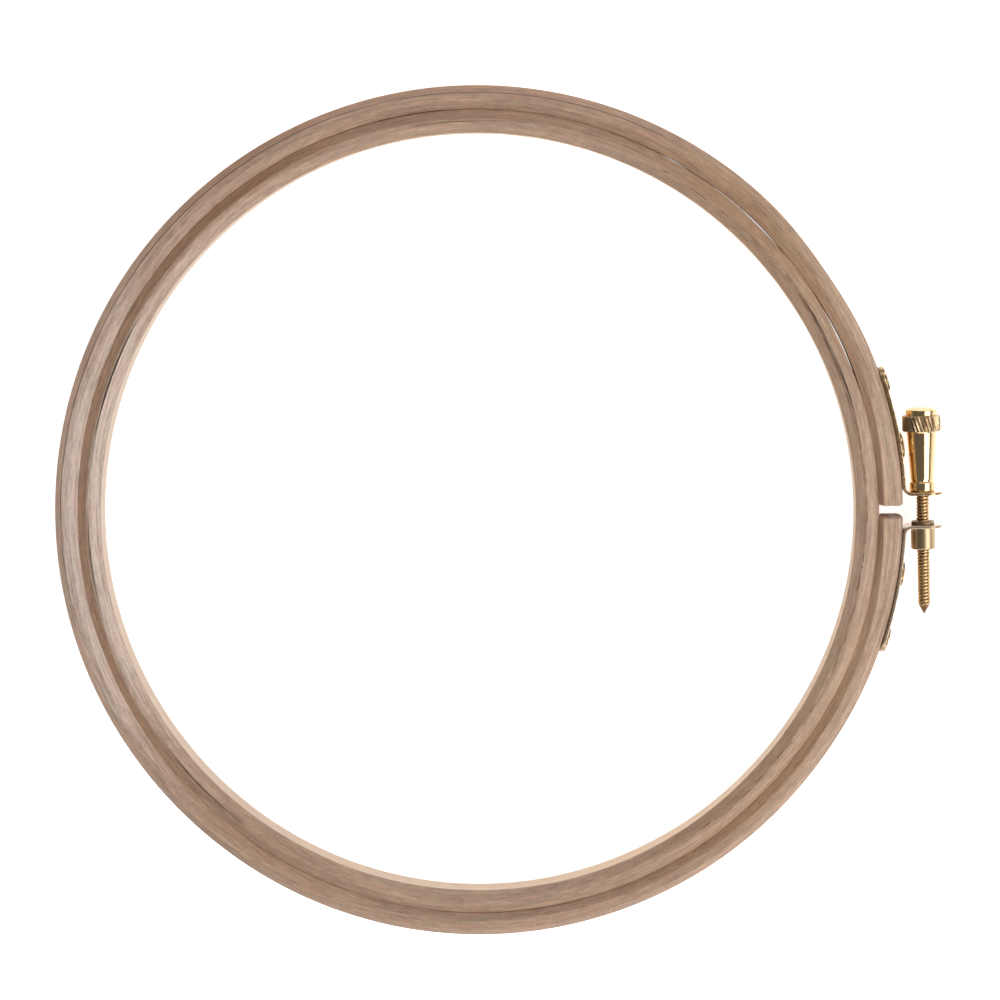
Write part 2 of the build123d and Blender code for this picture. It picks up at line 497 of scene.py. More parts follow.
def grain_group() -> bpy.types.NodeTree:
    """Group: noise drawn out along the ring.

    The noise is read at (R cos a / length, R sin a / length, r / breadth) and depth z / breadth, so
    a feature is about length long round the hoop and breadth across, and the pattern has no seam.
    R is the radius where the two rings meet.
    """
    graph, given, result = new_group(
        "grain along the ring",
        {"Rest": "Vector", "Length": "Float", "Breadth": "Float", "Seed": "Float"},
        {"Value": "Float"},
    )
    radius, height, cosine, sine = graph.polar(given["Rest"])
    turn = graph.math("DIVIDE", JOIN_RADIUS, given["Length"])
    along = graph.join(
        graph.product(cosine, turn),
        graph.product(sine, turn),
        graph.math("DIVIDE", radius, given["Breadth"]),
    )
    depth = graph.total(graph.math("DIVIDE", height, given["Breadth"]), given["Seed"])
    graph.feed(result["Value"], graph.noise(along, 1.0, 2.5, 0.55, depth))
    return graph.tree


def beech_group(grain: bpy.types.NodeTree) -> bpy.types.NodeTree:
    """Group: colour, roughness and relief of sanded beech bent into a ring.

    Brown wood turns pale where the ring runs along Y, most at the left: a painted sheen, the key
    light's gleam on the bent strip's fibres. The outer bevel, on the side away from the clamp, gets
    lit and shaded copies of the brown: painted shade, and painted light at the left end. The inner
    bevel gets painted light near the clamp, and the inner wall is paler than the rest, as raw wood
    and as painted light bounced from the floor, most towards +X. Over them lie broad tones, streaks,
    fine fibres, ray flecks, a painted shade line along the outer arris at the upper left, a row of
    dark dashes along the inner arris near the clamp, and end grain where the ring is sawn.

    Args:
        grain: The group that draws noise out along the ring.

    Returns:
        The group.
    """
    graph, given, result = new_group(
        "sanded beech",
        {
            "Rest": "Vector", "Seed": "Float", "Brown": "Color", "Pale": "Color",
            "Bevel Brown": "Color", "Bevel Pale": "Color", "Outer Arris": "Float",
            "Inner Arris": "Float", "Line": "Float", "Dashes": "Float", "Bevel Light": "Float",
            "End Grain": "Float", "Raw Wall": "Float",
        },
        {"Color": "Color", "Roughness": "Float", "Height": "Float"},
    )
    warm_tint = (1.0, 0.975, 0.9)
    raw_and_bounce_left = (0.6, 0.45, 0.335)
    raw_and_bounce_right = (0.88, 0.635, 0.44)
    fleck_brown = (0.20, 0.095, 0.055)
    painted_shade_line_brown = (0.13, 0.075, 0.05)
    dash_brown = (0.175, 0.08, 0.045)
    sawn_brown = (0.43, 0.26, 0.185)
    pore_brown = (0.20, 0.10, 0.065)
    year_brown = (0.30, 0.14, 0.09)
    rest = given["Rest"]
    radius, height, cosine, sine = graph.polar(rest)

    def fibres(length: float, breadth: float, offset: float) -> bpy.types.NodeSocket:
        """Grain of one size, apart from the others by its offset."""
        seed = graph.total(given["Seed"], offset)
        return graph.use(grain, Rest=rest, Length=length, Breadth=breadth, Seed=seed).outputs[0]

    def towards(azimuth: float) -> bpy.types.NodeSocket:
        """Cosine of the angle round the hoop from an azimuth in degrees."""
        turn = math.radians(azimuth)
        return graph.total(graph.product(cosine, math.cos(turn)), graph.product(sine, math.sin(turn)))

    def swing(field: bpy.types.NodeSocket, low: float, high: float,
              size: float) -> bpy.types.NodeSocket:
        """Field carried evenly from one range to the range from -size to size."""
        return graph.spread(field, low, high, -size, size, False)

    off_outer = graph.math("SUBTRACT", radius, given["Outer Arris"])
    off_inner = graph.math("SUBTRACT", radius, given["Inner Arris"])
    outer_bevel = graph.spread(off_outer, -0.15, 0.15)
    inner_bevel = graph.spread(off_inner, 0.15, -0.15)
    upward = graph.spread(graph.math("ABSOLUTE", height), 4.3, 4.7)
    broad = fibres(26.0, 2.0, 3.0)
    streak = fibres(13.0, 0.4, 11.0)
    thread = fibres(5.0, 0.2, 23.0)
    short_streak = fibres(3.0, 0.55, 131.0)
    hue = fibres(6.0, 1.3, 151.0)
    mottle = graph.noise(rest, 1500.0, 2.0, 0.6)

    # Painted sheen: the wood turns pale where the ring runs along Y, most at the left, for the key
    # light's gleam on the fibres.
    side = graph.math("POWER", graph.math("ABSOLUTE", cosine), 4.0)
    left = graph.spread(cosine, 0.7, -1.0, 0.3, 1.0)
    patchy = graph.spread(graph.total(streak, graph.product(broad, 0.6)), 0.55, 1.0, 0.35, 1.5)
    painted_sheen_share = graph.math("MULTIPLY", graph.product(side, left), patchy, clamp=True)
    colour = graph.mix(painted_sheen_share, given["Brown"], given["Pale"])
    # Lit and shaded copies of the brown on the outer bevel, on the side away from the clamp and the key
    # light: painted shade there, painted light at the left end.
    left_end = graph.spread(cosine, -0.5, -1.0)
    painted_bevel_light_and_shade = graph.mix(left_end, given["Bevel Brown"], given["Bevel Pale"])
    turned_away = graph.spread(towards(150.0), 0.05, 0.5)
    colour = graph.mix(graph.product(outer_bevel, turned_away), colour, painted_bevel_light_and_shade)
    warm = graph.spread(cosine, 0.2, 0.9)
    colour = graph.mix(warm, colour, graph.mix(1.0, colour, warm_tint, "MULTIPLY"))
    # Inner wall: paler as raw wood, and as painted light bounced from the floor, most towards +X.
    raw_and_bounce_colour = graph.mix(graph.spread(cosine, -1.0, 0.6), raw_and_bounce_left, raw_and_bounce_right)
    colour = graph.mix(given["Raw Wall"], colour, raw_and_bounce_colour)

    tone = graph.total(
        swing(broad, 0.3, 0.7, 0.1),
        swing(streak, 0.25, 0.75, 0.24),
        swing(thread, 0.2, 0.8, 0.2),
        swing(short_streak, 0.25, 0.75, 0.25),
        swing(mottle, 0.3, 0.7, 0.08),
    )
    calm = graph.spread(given["Raw Wall"], 0.0, 1.0, 1.0, 0.35, False)
    # Painted light: the inner bevel brightens near the clamp.
    light = graph.product(inner_bevel, graph.spread(towards(-10.0), 0.2, 0.8))
    tone = graph.total(graph.product(tone, calm), 1.0, graph.product(light, given["Bevel Light"]))
    blush = swing(hue, 0.3, 0.7, 0.08)
    tint = graph.join(tone, graph.math("SUBTRACT", tone, blush),
                      graph.math("SUBTRACT", tone, graph.product(blush, 0.8)))
    colour = graph.mix(1.0, colour, tint, "MULTIPLY")

    crowd = graph.spread(fibres(30.0, 3.0, 51.0), 0.42, 0.66)
    crowd = graph.math("MAXIMUM", crowd, graph.spread(cosine, 0.985, 0.998))
    flecks = graph.product(graph.spread(fibres(2.0, 0.3, 37.0), 0.62, 0.74, 0.0, 0.55), crowd)
    colour = graph.mix(flecks, colour, fleck_brown)

    # Painted shade: a dark line along the outer arris at the upper left, the shade of a small step at
    # the arris.
    near_line = graph.total(off_outer, swing(fibres(40.0, 20.0, 71.0), 0.3, 0.7, 0.08))
    line_band = graph.spread(graph.math("ABSOLUTE", near_line), 0.22, 0.07)
    line_reach = graph.spread(towards(127.5), 0.33, 0.5)
    line_cut = graph.spread(fibres(9.0, 30.0, 83.0), 0.3, 0.5, 0.45, 1.0)
    line = graph.product(line_band, line_reach, upward, line_cut, given["Line"])
    colour = graph.mix(line, colour, painted_shade_line_brown)

    near_dashes = graph.math("SUBTRACT", off_inner, 0.3)
    near_dashes = graph.total(near_dashes, swing(fibres(18.0, 25.0, 97.0), 0.3, 0.7, 0.4))
    dash_band = graph.spread(graph.math("ABSOLUTE", near_dashes), 0.23, 0.07)
    dash_cut = graph.spread(fibres(3.5, 1.6, 113.0), 0.47, 0.55)
    dash_reach = graph.spread(cosine, 0.4, 0.6)
    dashes = graph.product(dash_band, dash_cut, dash_reach, upward, given["Dashes"])
    colour = graph.mix(dashes, colour, dash_brown)

    pores = graph.noise(rest, 4200.0, 1.0, 0.5)
    sawn = graph.mix(graph.spread(pores, 0.5, 0.7, 0.0, 0.6), sawn_brown, pore_brown)
    years = graph.noise(graph.stretch(rest, (900.0, 100.0, 300.0)), 1.0, 2.0, 0.5)
    sawn = graph.mix(graph.spread(years, 0.45, 0.65, 0.0, 0.45), sawn, year_brown)
    graph.feed(result["Color"], graph.mix(given["End Grain"], colour, sawn))

    roughness = graph.spread(streak, 0.3, 0.7, 0.42, 0.52, False)
    graph.feed(result["Roughness"], graph.total(roughness, graph.product(given["End Grain"], 0.2)))
    relief = graph.total(graph.product(thread, 0.6), graph.product(streak, 0.5))
    graph.feed(result["Height"], graph.math("SUBTRACT", relief, graph.product(flecks, 0.25)))
    return graph.tree


def brass_group() -> bpy.types.NodeTree:
    """Group: colour, roughness and relief of handled brass.

    Two sizes of noise, added, decide where the bright metal turns to its dull shade, and how rough
    it is there. Drag gives the fine lines that rolling or turning leaves.
    """
    graph, given, result = new_group(
        "handled brass",
        {
            "Place": "Vector", "Drag": "Vector", "Bright": "Color", "Dull": "Color",
            "Dullness": "Float", "Smooth": "Float",
        },
        {"Color": "Color", "Roughness": "Float", "Height": "Float"},
    )
    clouds = graph.noise(given["Place"], 900.0, 3.0, 0.6)
    specks = graph.noise(given["Place"], 3800.0, 2.0, 0.6)
    lines = graph.noise(given["Drag"], 1.0, 3.0, 0.7)
    worn = graph.total(graph.product(clouds, 0.65), graph.product(specks, 0.35))
    low = graph.math("SUBTRACT", 0.62, graph.product(given["Dullness"], 0.34))
    dulled = graph.spread(worn, low, graph.total(low, 0.2))
    dulled = graph.product(dulled, graph.spread(given["Dullness"], 0.0, 0.35, ease=False))
    graph.feed(result["Color"], graph.mix(dulled, given["Bright"], given["Dull"]))
    drawn = graph.spread(lines, 0.3, 0.7, -0.02, 0.05, False)
    graph.feed(result["Roughness"], graph.total(given["Smooth"], graph.product(dulled, 0.17), drawn))
    graph.feed(result["Height"], graph.total(graph.product(lines, 0.6), graph.product(specks, 0.4)))
    return graph.tree


def dressed_material(name: str) -> tuple[bpy.types.Material, Graph, bpy.types.Node]:
    """Material with its shader and nothing else.

    Args:
        name: The material's name.

    Returns:
        The material, its graph and its Principled node.
    """
    material = bpy.data.materials.new(name)
    material.use_nodes = True
    graph = Graph(material.node_tree)
    return material, graph, material.node_tree.nodes["Principled BSDF"]


@dataclass(frozen=True)
class BeechFinish:
    """Sanded beech of one ring.

    Its colours on the flats, the pale one a painted sheen, and the shaded and lit copies of its brown
    painted on the outer bevel; the radii of its two upper arrises; how much painted light brightens
    its inner bevel near the clamp; how strong its own marks are, its painted shade line among them;
    and its relief.
    """

    name: str
    slot: str
    seed: float
    brown: tuple[float, float, float]
    pale: tuple[float, float, float]
    outer_bevel_painted_shade: tuple[float, float, float]
    outer_bevel_painted_light: tuple[float, float, float]
    outer_arris: float
    inner_arris: float
    inner_bevel_painted_light: float
    line: float = 0.0
    dashes: float = 0.0
    relief: float = 0.00004

    def material(self, beech: bpy.types.NodeTree) -> bpy.types.Material:
        """Material of this ring, from the shared beech group."""
        material, graph, shader = dressed_material(self.name)
        rest = graph.add("ShaderNodeAttribute", attribute_name="rest")
        end = graph.add("ShaderNodeAttribute", attribute_name="end_grain")
        raw = graph.add("ShaderNodeAttribute", attribute_name="raw_wall")
        wood = graph.use(
            beech,
            Rest=rest.outputs["Vector"],
            Seed=self.seed,
            Brown=self.brown,
            Pale=self.pale,
            Bevel_Brown=self.outer_bevel_painted_shade,
            Bevel_Pale=self.outer_bevel_painted_light,
            Outer_Arris=self.outer_arris,
            Inner_Arris=self.inner_arris,
            Line=self.line,
            Dashes=self.dashes,
            Bevel_Light=self.inner_bevel_painted_light,
            End_Grain=end.outputs["Fac"],
            Raw_Wall=raw.outputs["Fac"],
        )
        bump = graph.add("ShaderNodeBump")
        bump.inputs["Distance"].default_value = self.relief
        bump.inputs["Strength"].default_value = 0.6
        graph.feed(bump.inputs["Height"], wood.outputs["Height"])
        graph.feed(shader.inputs["Base Color"], wood.outputs["Color"])
        graph.feed(shader.inputs["Roughness"], wood.outputs["Roughness"])
        graph.feed(shader.inputs["Normal"], bump.outputs[0])
        fibres = graph.add("ShaderNodeTangent", direction_type="RADIAL", axis="Z")
        graph.feed(shader.inputs["Tangent"], fibres.outputs[0])
        shader.inputs["Anisotropic"].default_value = 0.9
        shader.inputs["Anisotropic Rotation"].default_value = 0.25
        shader.inputs["Specular IOR Level"].default_value = 0.9
        return material


@dataclass(frozen=True)
class BrassFinish:
    """Brass of one kind of piece: its colours, how dull it is and which way its lines run."""

    name: str
    slot: str
    bright: tuple[float, float, float]
    dull: tuple[float, float, float]
    dullness: float
    smooth: float
    drag: tuple[float, float, float]
    edge_wear_and_shade_dullness: float = 0.0
    relief: float = 0.00001

    def material(self, brass: bpy.types.NodeTree) -> bpy.types.Material:
        """Material of this brass, from the shared group."""
        material, graph, shader = dressed_material(self.name)
        place = graph.add("ShaderNodeTexCoord").outputs["Object"]
        edge = graph.add("ShaderNodeAttribute", attribute_name="edge_wear_and_shade")
        # The edge value dulls sheared edges and rims, and paints shade into the thread's roots.
        dullness = graph.total(self.dullness, graph.product(edge.outputs["Fac"], self.edge_wear_and_shade_dullness))
        metal = graph.use(
            brass,
            Place=place,
            Drag=graph.stretch(place, self.drag),
            Bright=self.bright,
            Dull=self.dull,
            Dullness=dullness,
            Smooth=self.smooth,
        )
        bump = graph.add("ShaderNodeBump")
        bump.inputs["Distance"].default_value = self.relief
        bump.inputs["Strength"].default_value = 0.5
        graph.feed(bump.inputs["Height"], metal.outputs["Height"])
        graph.feed(shader.inputs["Base Color"], metal.outputs["Color"])
        graph.feed(shader.inputs["Roughness"], metal.outputs["Roughness"])
        graph.feed(shader.inputs["Normal"], bump.outputs[0])
        shader.inputs["Metallic"].default_value = 1.0
        return material


def dress(piece: bpy.types.Object, material: bpy.types.Material, body: str,
          node: str) -> None:
    """Gives a finished piece its material, the body it rides on and the node it stands for.

    Args:
        piece: The finished piece, at the origin.
        material: Its material.
        body: The body that carries it.
        node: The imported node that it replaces.
    """
    piece.data.materials.clear()
    piece.data.materials.append(material)
    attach(piece, body)
    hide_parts(node)
    LOG.info("%s: %d faces, rides on %s", piece.name, len(piece.data.polygons), body)


@dataclass(frozen=True)
class Rings:
    """The two beech rings: a closed inner one and an outer one that is cut open at the clamp.

    hinge_drop, a drop below the middle line opposite the gap, is not used.
    """

    inner_inside: float = 95.0
    inner_outside: float = JOIN_RADIUS
    outer_inside: float = 101.3
    outer_outside: float = 107.0
    half_depth: float = 5.0
    wall_top: float = 3.1
    inner_bevel: float = 2.4
    outer_bevel: float = 1.85
    arris: float = 0.34
    valley_arris: float = 0.06
    inner_thinness: float = 0.2
    half_gap: float = 1.45
    end_round: float = 0.45
    recess_radius: float = 2.05
    recess_depth: float = 0.75
    recess_overrun: float = 1.5
    hinge_drop: float = 9.6
    raw_wall_depth: tuple[float, float] = (0.05, 0.17)
    sawn_depth: tuple[float, float] = (0.05, 0.25)
    shift: tuple[float, float] = (0.12, -0.17)
    oval: float = 0.54
    oval_azimuth: float = 79.0
    least_gap: float = 0.015
    gap_waver: Waver = Waver(0.012, 21, (3, 5, 8, 13))
    slits: tuple[Swell, ...] = (
        Swell(0.50, 24.3, 6.2),
        Swell(0.38, 44.0, 4.0),
        Swell(0.20, 50.5, 3.5),
        Swell(0.22, 59.5, 2.4),
        Swell(0.14, 97.0, 6.0),
    )
    inner_wall_waver: Waver = Waver(0.05, 5, (2, 3, 5, 9))
    inner_bevel_waver: Waver = Waver(0.16, 7, (1, 2, 5, 11))
    inner_rise_waver: Waver = Waver(0.12, 8, (1, 3, 6, 10))
    outer_wall_waver: Waver = Waver(0.05, 16, (3, 4, 7))
    outer_bevel_waver: Waver = Waver(0.12, 17, (1, 3, 5, 8))
    outer_rise_waver: Waver = Waver(0.12, 18, (1, 2, 5, 9))
    dip: Swell = Swell(0.40, 34.0, 7.0)
    narrowing: Swell = Swell(0.95, 0.0, 11.0)
    crease: float = 40.0
    steps: int = 744

    def corners(self, inside: Number, outside: Number, bevel: Number, rise: Number) -> np.ndarray:
        """Section with straight walls, a flat top and foot, and a bevel on each of its four edges.

        Args:
            inside: Radius of the inner wall at each angle.
            outside: Radius of the outer wall at each angle.
            bevel: Width of the bevels at each angle.
            rise: How much higher than usual the walls end at each angle.

        Returns:
            The eight corners at each angle, (angles, 8, 2).
        """
        top = self.wall_top + rise
        flat = np.full_like(top, self.half_depth)
        outer_arris = outside - bevel
        inner_arris = inside + bevel
        across = (outside, outside, outer_arris, inner_arris, inside, inside, inner_arris, outer_arris)
        height = (-top, top, flat, flat, top, -top, -flat, -flat)
        return np.stack([np.stack(across, axis=-1), np.stack(height, axis=-1)], axis=-1)

    def fullness(self, angle: np.ndarray) -> np.ndarray:
        """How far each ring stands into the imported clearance, so that light shows only in places.

        Half of what is left of the clearance by the gap, which is a hair's breadth all round plus the
        slits: open stretches between the clamp's upper strap and the top, and a faint one at the top.

        Args:
            angle: Angles round the hoop, in radians.

        Returns:
            The distance for one ring, in millimetres, negative where the rings stand apart.
        """
        open_places = sum(slit.at(angle) for slit in self.slits)
        hair = self.gap_waver.size + self.gap_waver.at(angle)
        gap = self.least_gap + open_places + hair
        return (self.outer_inside - self.inner_outside - gap) / 2

    def out_of_round(self, angle: np.ndarray) -> np.ndarray:
        """How far the rings stand off a true circle, away from the straps that hold them to it.

        A shift, x cos a + y sin a, and an oval, size x cos 2(a - azimuth), faded out near the clamp.

        Args:
            angle: Angles round the hoop, in radians.

        Returns:
            The distance outwards, in millimetres.
        """
        away = smooth_step(1.0 - np.cos(angle), 0.06, 0.3)
        shift = self.shift[0] * np.cos(angle) + self.shift[1] * np.sin(angle)
        return away * (shift + self.oval * np.cos(2.0 * (angle - math.radians(self.oval_azimuth))))

    def true_places(self, points: np.ndarray) -> np.ndarray:
        """Points of a ring with its departure from a true circle taken off, so that marks run true."""
        radius = np.hypot(points[:, 0], points[:, 1])
        angle = np.arctan2(points[:, 1], points[:, 0])
        factor = 1.0 - self.out_of_round(angle) / radius
        return points * np.stack([factor, factor, np.ones_like(factor)], axis=-1)

    def inner_ring(self) -> bpy.types.Object:
        """Closed ring: the section carried round, with a slightly uneven bevel."""
        angle = np.linspace(0.0, 2.0 * np.pi, self.steps, endpoint=False)
        inside = self.inner_inside + self.inner_thinness + self.inner_wall_waver.at(angle)
        outside = self.inner_outside + self.fullness(angle)
        bevel = self.inner_bevel + self.inner_bevel_waver.at(angle)
        rise = self.inner_rise_waver.at(angle)
        cuts = np.full(8, self.arris)
        cuts[[0, 1]] = self.valley_arris
        loop = soften(self.corners(inside, outside, bevel, rise), cuts)
        radius, height = loop[..., 0] + self.out_of_round(angle)[:, None], loop[..., 1]
        turn = angle[:, None]
        points = np.stack([radius * np.cos(turn), radius * np.sin(turn), height], axis=-1)
        quads = grid_quads(self.steps, loop.shape[1], True, True)
        return make_object("beech_inner_ring", Shell(points.reshape(-1, 3), quads), self.crease)

    def outer_ring(self) -> bpy.types.Object:
        """Ring cut open: the section carried from one sawn end to the other.

        A point at radius r starts at the angle asin(half gap / r), so that both ends are flat and
        square to the gap. Within end_round of an end the section draws in along a quarter circle.
        """
        bend = np.linspace(np.pi / 2, 0.0, 6)
        near = self.end_round * (1.0 - np.sin(bend)) / self.outer_outside
        middle = np.linspace(near[-1], 2.0 * np.pi - near[-1], self.steps)[1:-1]
        angle = np.concatenate([near, middle, 2.0 * np.pi - near[::-1]])
        drawn_in = 1.0 - np.cos(bend)
        shrink = self.end_round * np.concatenate([drawn_in, np.zeros(len(middle)), drawn_in[::-1]])
        away_from_clamp = smooth_step(1.0 - np.cos(angle), 0.08, 0.2)
        unevenness = self.outer_wall_waver.at(angle) * away_from_clamp
        inside = self.outer_inside - self.fullness(angle)
        outside = self.outer_outside - self.dip.at(angle) + unevenness
        bevel = self.outer_bevel + self.outer_bevel_waver.at(angle) - self.narrowing.at(angle)
        rise = self.outer_rise_waver.at(angle)
        cuts = np.full(8, self.arris)
        cuts[[4, 5]] = self.valley_arris
        loop = soften(self.corners(inside, outside, bevel, rise), cuts)
        centre = (self.outer_inside + self.outer_outside) / 2
        draw = shrink[:, None] / (self.outer_outside - centre)
        radius = centre + (loop[..., 0] - centre) * (1.0 - draw)
        height = loop[..., 1] * (1.0 - shrink[:, None] / self.half_depth)
        start = np.arcsin(self.half_gap / radius)
        turn = start + (2.0 * np.pi - 2.0 * start) * (angle[:, None] / (2.0 * np.pi))
        radius = radius + self.out_of_round(turn)
        points = np.stack([radius * np.cos(turn), radius * np.sin(turn), height], axis=-1)
        rows, columns = radius.shape
        quads = grid_quads(rows, columns, False, True)
        shell = Shell(points.reshape(-1, 3), quads, end_caps(rows, columns))
        return make_object("beech_outer_ring", shell, self.crease)

    def recesses(self, rivet_angles: list[float]) -> list[Shell]:
        """Round bars that cut the recesses for the rivets' clinched tails into the inner wall."""
        low = self.outer_inside - self.recess_overrun
        bar = round_bar(self.recess_radius, low, self.outer_inside + self.recess_depth, 40)
        return [about_spoke(bar, angle) for angle in rivet_angles]

    def build(self, finishes: tuple[BeechFinish, BeechFinish], beech: bpy.types.NodeTree,
              rivet_angles: list[float]) -> None:
        """Makes, drills and dresses both rings.

        Args:
            finishes: Finish of the inner and of the outer ring.
            beech: The shared beech group.
            rivet_angles: Angle of each rivet round the hoop, in radians.
        """
        inner_finish, outer_finish = finishes
        inner = self.inner_ring()
        places = self.true_places(mesh_points(inner))
        store_place(inner, "rest", places)
        # raw_wall marks the inner wall, painted paler as raw wood and as painted light bounced from the
        # floor.
        off_wall = np.hypot(places[:, 0], places[:, 1]) - self.inner_inside - self.inner_thinness
        store_value(inner, "raw_wall", 1.0 - smooth_step(off_wall, *self.raw_wall_depth))
        dress(inner, inner_finish.material(beech), "inner_ring", "inner_ring")

        outer = self.outer_ring()
        drill(outer, self.recesses(rivet_angles), self.crease)
        places = self.true_places(mesh_points(outer))
        store_place(outer, "rest", places)
        from_end = np.abs(places[:, 1]) - self.half_gap
        sawn = (1.0 - smooth_step(from_end, *self.sawn_depth)) * (places[:, 0] > 0.0)
        store_value(outer, "end_grain", sawn)
        outer.data.materials.clear()
        outer.data.materials.append(outer_finish.material(beech))
        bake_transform(outer)
        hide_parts("outer_ring")
        LOG.info("%s: %d faces, bends to lower_clamp", outer.name, len(outer.data.polygons))


def about_spoke(shell: Shell, angle: float) -> Shell:
    """Surface about Y, laid along the spoke at an angle: Y goes outwards and X round the hoop."""
    outwards = np.array([math.cos(angle), math.sin(angle), 0.0])
    round_hoop = np.array([math.sin(angle), -math.cos(angle), 0.0])
    upwards = np.array([0.0, 0.0, 1.0])
    x, y, z = shell.points.T
    points = x[:, None] * round_hoop + y[:, None] * outwards + z[:, None] * upwards
    return Shell(points, shell.quads, shell.others)


@dataclass(frozen=True)
class Bracket:
    """Bent brass strap with its ear, riveted to one end of the outer ring."""

    side: Side
    strap_middle: float = 107.45
    thickness: float = 0.8
    width: float = 7.5
    strap_reach: float = 36.4
    ring_outside: float = 107.0
    strap_end_round: float = 3.0
    bend_radius: float = 1.6
    ear_near_face: float = 3.75
    ear_tip: float = 116.95
    ear_end_round: float = 3.4
    edge: float = 0.17
    screw_x: float = 112.3
    hole_radius: float = 1.9
    hole_span: tuple[float, float] = (1.0, 8.0)
    crease: float = 35.0

    def bend_centre(self) -> tuple[float, float]:
        """Centre of the bend between strap and ear."""
        y = self.ear_near_face + self.thickness + self.bend_radius
        reach = self.strap_middle + self.thickness / 2 + self.bend_radius
        return math.sqrt(reach**2 - y**2), y

    def path(self, travel: np.ndarray) -> tuple[np.ndarray, np.ndarray]:
        """Middle of the sheet, from the strap's end to the ear's tip, and its outward direction.

        Three runs follow each other: an arc about the hoop's axis, an arc about the bend's centre,
        and a straight line along X.

        Args:
            travel: Distances along the sheet from the strap's end.

        Returns:
            The points and the unit vectors that point to the bend's inner side, both (points, 2).
        """
        bend_x, bend_y = self.bend_centre()
        bend_start = math.atan2(bend_y, bend_x)
        strap_end = self.strap_reach / self.ring_outside
        strap_length = (strap_end - bend_start) * self.strap_middle
        middle_radius = self.bend_radius + self.thickness / 2
        bend_length = middle_radius * (math.pi / 2 - bend_start)
        on_strap = strap_end - np.clip(travel, 0.0, strap_length) / self.strap_middle
        in_bend = bend_start + np.clip(travel - strap_length, 0.0, bend_length) / middle_radius
        on_ear = np.clip(travel - strap_length - bend_length, 0.0, None)
        angle = np.where(travel < strap_length, on_strap, in_bend)
        outwards = np.stack([np.cos(angle), np.sin(angle)], axis=-1)
        strap = self.strap_middle * outwards
        bend = np.array([bend_x, bend_y]) - middle_radius * outwards
        place = np.where((travel < strap_length)[:, None], strap, bend)
        place[:, 0] += on_ear
        return place, outwards

    def length(self) -> float:
        """Length of the sheet's middle line, from the strap's end to the ear's tip."""
        bend_x, bend_y = self.bend_centre()
        bend_start = math.atan2(bend_y, bend_x)
        strap = (self.strap_reach / self.ring_outside - bend_start) * self.strap_middle
        bend = (self.bend_radius + self.thickness / 2) * (math.pi / 2 - bend_start)
        return strap + bend + self.ear_tip - bend_x

    def half_width(self, travel: np.ndarray) -> np.ndarray:
        """Half the sheet's width, w - R + sqrt(R^2 - (R - e)^2) at e from an end with corners R."""
        widths = []
        from_tip = self.length() - travel
        for away, corner in ((travel, self.strap_end_round), (from_tip, self.ear_end_round)):
            inset = np.clip(corner - away, 0.0, corner)
            widths.append(self.width / 2 - corner + np.sqrt(corner**2 - inset**2))
        return np.minimum(*widths)

    def screw_hole(self) -> Shell:
        """Bar on the screw's axis that cuts the ear's hole."""
        bar = round_bar(self.hole_radius, *self.hole_span, 56)
        points = bar.points * (1.0, self.side.value, 1.0) + (self.screw_x, 0.0, 0.0)
        return Shell(points, bar.quads, bar.others)

    def build(self, slot: str, material: bpy.types.Material) -> None:
        """Carries the sheet's section along its path, drills the ear and dresses the piece.

        Args:
            slot: The record's name for sheet brass; not used.
            material: The sheet's material.
        """
        length = self.length()
        turn = np.linspace(0.0, np.pi / 2, 14)
        strap_end = self.strap_end_round * (1.0 - np.cos(turn))
        tip = length - self.ear_end_round * (1.0 - np.cos(turn))
        run = np.arange(self.strap_end_round + 0.3, length - self.ear_end_round, 0.35)
        edges = np.array([0.04, 0.09])
        travel = np.unique(np.concatenate([strap_end, edges, run, length - edges, tip]))
        place, outwards = self.path(travel)
        from_end = np.minimum(travel, length - travel)
        inset = np.clip(self.edge - from_end, 0.0, self.edge)
        draw = self.edge - np.sqrt(self.edge**2 - inset**2)
        half_width = self.half_width(travel) - draw
        half_sheet = self.thickness / 2 - draw
        across = np.stack([half_sheet, half_sheet, -half_sheet, -half_sheet], axis=-1)
        height = np.stack([-half_width, half_width, half_width, -half_width], axis=-1)
        loop = soften(np.stack([across, height], axis=-1), self.edge, 5)
        points = np.concatenate([
            place[:, None, :] + outwards[:, None, :] * loop[..., :1],
            loop[..., 1:],
        ], axis=-1)
        points[..., 1] *= self.side.value
        rows, columns = loop.shape[:2]
        quads = grid_quads(rows, columns, False, True)
        shell = Shell(points.reshape(-1, 3), quads, end_caps(rows, columns))
        piece = make_object(f"{self.side.word}_strap_and_ear", shell, self.crease)
        drill(piece, [self.screw_hole()], self.crease)
        store_value(piece, "edge_wear_and_shade", self.cut_edges(mesh_points(piece)))
        dress(piece, material, self.side.body, f"{self.side.word}_bracket")

    def cut_edges(self, points: np.ndarray) -> np.ndarray:
        """How near each point is to the sheet's sheared edge, 0 on its faces and 1 on the edge."""
        reach = np.hypot(points[:, 0], points[:, 1])
        bend_x, bend_y = self.bend_centre()
        along = np.abs(points[:, 1])
        on_ear = points[:, 0] > bend_x
        in_bend = (along < bend_y) & ~on_ear
        middle_radius = self.bend_radius + self.thickness / 2
        off_strap = np.abs(reach - self.strap_middle)
        off_bend = np.abs(np.hypot(points[:, 0] - bend_x, along - bend_y) - middle_radius)
        off_ear = np.abs(along - self.ear_near_face - self.thickness / 2)
        off_middle = np.where(on_ear, off_ear, np.where(in_bend, off_bend, off_strap))
        face = self.thickness / 2
        return 1.0 - smooth_step(off_middle, face - self.edge * 0.9, face - 0.01)


